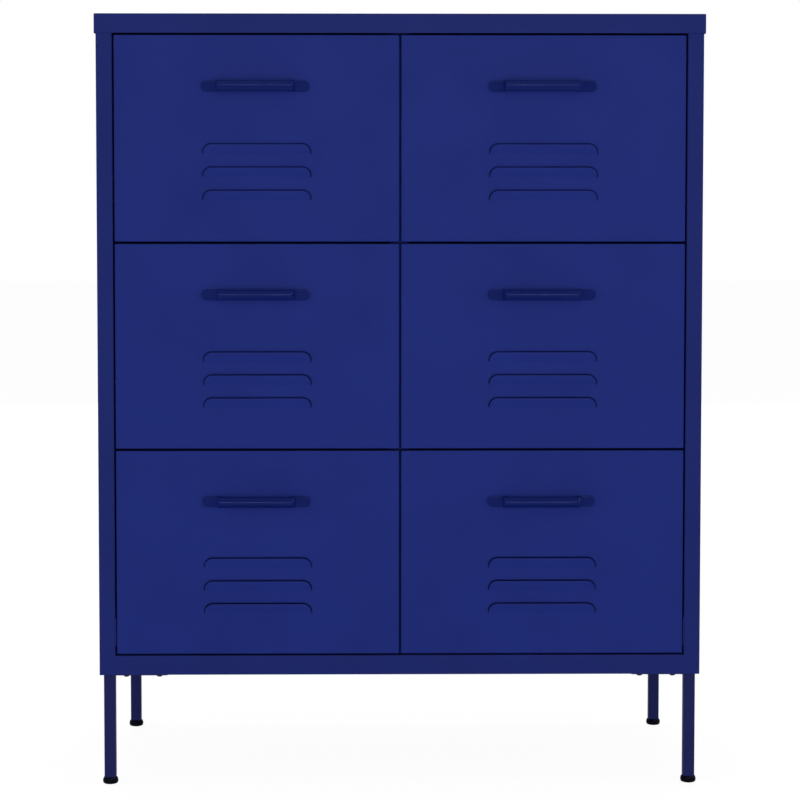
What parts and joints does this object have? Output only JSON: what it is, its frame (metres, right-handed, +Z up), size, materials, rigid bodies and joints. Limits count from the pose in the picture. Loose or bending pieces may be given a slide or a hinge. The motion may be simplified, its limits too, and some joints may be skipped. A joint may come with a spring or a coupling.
{
  "type": "small metal drawer cabinet",
  "caption": "Steel cabinet with two columns of inset louvred drawers on ball slides, bar pulls, and slim square legs with levelling feet.",
  "frame": {"origin": "on the floor under the middle of the outer box, with the handles counted in its depth", "axes": "+Z up, +X to the right when facing the drawers, and the drawers open towards -Y"},
  "size_m": [0.8, 0.367, 1.0185],
  "materials": {
    "blue_powder_coat": "satin powder coat",
    "handle_gloss": "glossy",
    "zinc_steel": "bright zinc plating",
    "black_zinc": "black zinc plating",
    "black_plastic": "fine moulded grain",
    "black_rubber": "matte"
  },
  "bodies": {
    "case": {"top_panel": "blue_powder_coat", "side_panel_left": "blue_powder_coat", "side_panel_right": "blue_powder_coat", "back_panel": "blue_powder_coat", "bottom_panel": "blue_powder_coat", "centre_partition": "blue_powder_coat", "slide_posts": "blue_powder_coat", "corner_brackets": "blue_powder_coat", "case_slides_left": "zinc_steel", "case_slides_right": "zinc_steel", "drawer_stops": "black_rubber", "case_screws": "zinc_steel", "leg_front_left": "blue_powder_coat", "leg_front_right": "blue_powder_coat", "leg_rear_left": "blue_powder_coat", "leg_rear_right": "blue_powder_coat", "leg_fasteners": "black_zinc", "leg_inserts": "black_plastic"},
    "drawer_top_left": {"front_top_left": "blue_powder_coat", "box_top_left": "blue_powder_coat", "handle_top_left": "handle_gloss", "screws_top_left": "zinc_steel", "slides_top_left": "zinc_steel"},
    "drawer_top_right": {"front_top_right": "blue_powder_coat", "box_top_right": "blue_powder_coat", "handle_top_right": "handle_gloss", "screws_top_right": "zinc_steel", "slides_top_right": "zinc_steel"},
    "drawer_middle_left": {"front_middle_left": "blue_powder_coat", "box_middle_left": "blue_powder_coat", "handle_middle_left": "handle_gloss", "screws_middle_left": "zinc_steel", "slides_middle_left": "zinc_steel"},
    "drawer_middle_right": {"front_middle_right": "blue_powder_coat", "box_middle_right": "blue_powder_coat", "handle_middle_right": "handle_gloss", "screws_middle_right": "zinc_steel", "slides_middle_right": "zinc_steel"},
    "drawer_bottom_left": {"front_bottom_left": "blue_powder_coat", "box_bottom_left": "blue_powder_coat", "handle_bottom_left": "handle_gloss", "screws_bottom_left": "zinc_steel", "slides_bottom_left": "zinc_steel"},
    "drawer_bottom_right": {"front_bottom_right": "blue_powder_coat", "box_bottom_right": "blue_powder_coat", "handle_bottom_right": "handle_gloss", "screws_bottom_right": "zinc_steel", "slides_bottom_right": "zinc_steel"},
    "ball_cages_top_left": {"cages_top_left": "zinc_steel"},
    "ball_cages_top_right": {"cages_top_right": "zinc_steel"},
    "ball_cages_middle_left": {"cages_middle_left": "zinc_steel"},
    "ball_cages_middle_right": {"cages_middle_right": "zinc_steel"},
    "ball_cages_bottom_left": {"cages_bottom_left": "zinc_steel"},
    "ball_cages_bottom_right": {"cages_bottom_right": "zinc_steel"},
    "foot_front_left": {"foot_front_left": "black_plastic"},
    "foot_front_right": {"foot_front_right": "black_plastic"},
    "foot_rear_left": {"foot_rear_left": "black_plastic"},
    "foot_rear_right": {"foot_rear_right": "black_plastic"}
  },
  "joints": [
    {"name": "drawer_top_left_slide", "type": "slide", "parent": "case", "child": "drawer_top_left", "axis": [0, -1, 0], "range_m": [0, 0.22]},
    {"name": "drawer_top_right_slide", "type": "slide", "parent": "case", "child": "drawer_top_right", "axis": [0, -1, 0], "range_m": [0, 0.22]},
    {"name": "drawer_middle_left_slide", "type": "slide", "parent": "case", "child": "drawer_middle_left", "axis": [0, -1, 0], "range_m": [0, 0.22]},
    {"name": "drawer_middle_right_slide", "type": "slide", "parent": "case", "child": "drawer_middle_right", "axis": [0, -1, 0], "range_m": [0, 0.22]},
    {"name": "drawer_bottom_left_slide", "type": "slide", "parent": "case", "child": "drawer_bottom_left", "axis": [0, -1, 0], "range_m": [0, 0.22]},
    {"name": "drawer_bottom_right_slide", "type": "slide", "parent": "case", "child": "drawer_bottom_right", "axis": [0, -1, 0], "range_m": [0, 0.22]},
    {"name": "ball_cages_top_left_roll", "type": "slide", "parent": "case", "child": "ball_cages_top_left", "axis": [0, -1, 0], "range_m": [0, 0.11]},
    {"name": "ball_cages_top_right_roll", "type": "slide", "parent": "case", "child": "ball_cages_top_right", "axis": [0, -1, 0], "range_m": [0, 0.11]},
    {"name": "ball_cages_middle_left_roll", "type": "slide", "parent": "case", "child": "ball_cages_middle_left", "axis": [0, -1, 0], "range_m": [0, 0.11]},
    {"name": "ball_cages_middle_right_roll", "type": "slide", "parent": "case", "child": "ball_cages_middle_right", "axis": [0, -1, 0], "range_m": [0, 0.11]},
    {"name": "ball_cages_bottom_left_roll", "type": "slide", "parent": "case", "child": "ball_cages_bottom_left", "axis": [0, -1, 0], "range_m": [0, 0.11]},
    {"name": "ball_cages_bottom_right_roll", "type": "slide", "parent": "case", "child": "ball_cages_bottom_right", "axis": [0, -1, 0], "range_m": [0, 0.11]},
    {"name": "foot_front_left_screw", "type": "slide", "parent": "case", "child": "foot_front_left", "axis": [0, 0, -1], "range_m": [0, 0.01]},
    {"name": "foot_front_right_screw", "type": "slide", "parent": "case", "child": "foot_front_right", "axis": [0, 0, -1], "range_m": [0, 0.01]},
    {"name": "foot_rear_left_screw", "type": "slide", "parent": "case", "child": "foot_rear_left", "axis": [0, 0, -1], "range_m": [0, 0.01]},
    {"name": "foot_rear_right_screw", "type": "slide", "parent": "case", "child": "foot_rear_right", "axis": [0, 0, -1], "range_m": [0, 0.01]}
  ],
  "couplings": [
    {"joint": "ball_cages_top_left_roll", "follows": "drawer_top_left_slide", "ratio": 0.5},
    {"joint": "ball_cages_top_right_roll", "follows": "drawer_top_right_slide", "ratio": 0.5},
    {"joint": "ball_cages_middle_left_roll", "follows": "drawer_middle_left_slide", "ratio": 0.5},
    {"joint": "ball_cages_middle_right_roll", "follows": "drawer_middle_right_slide", "ratio": 0.5},
    {"joint": "ball_cages_bottom_left_roll", "follows": "drawer_bottom_left_slide", "ratio": 0.5},
    {"joint": "ball_cages_bottom_right_roll", "follows": "drawer_bottom_right_slide", "ratio": 0.5}
  ]
}
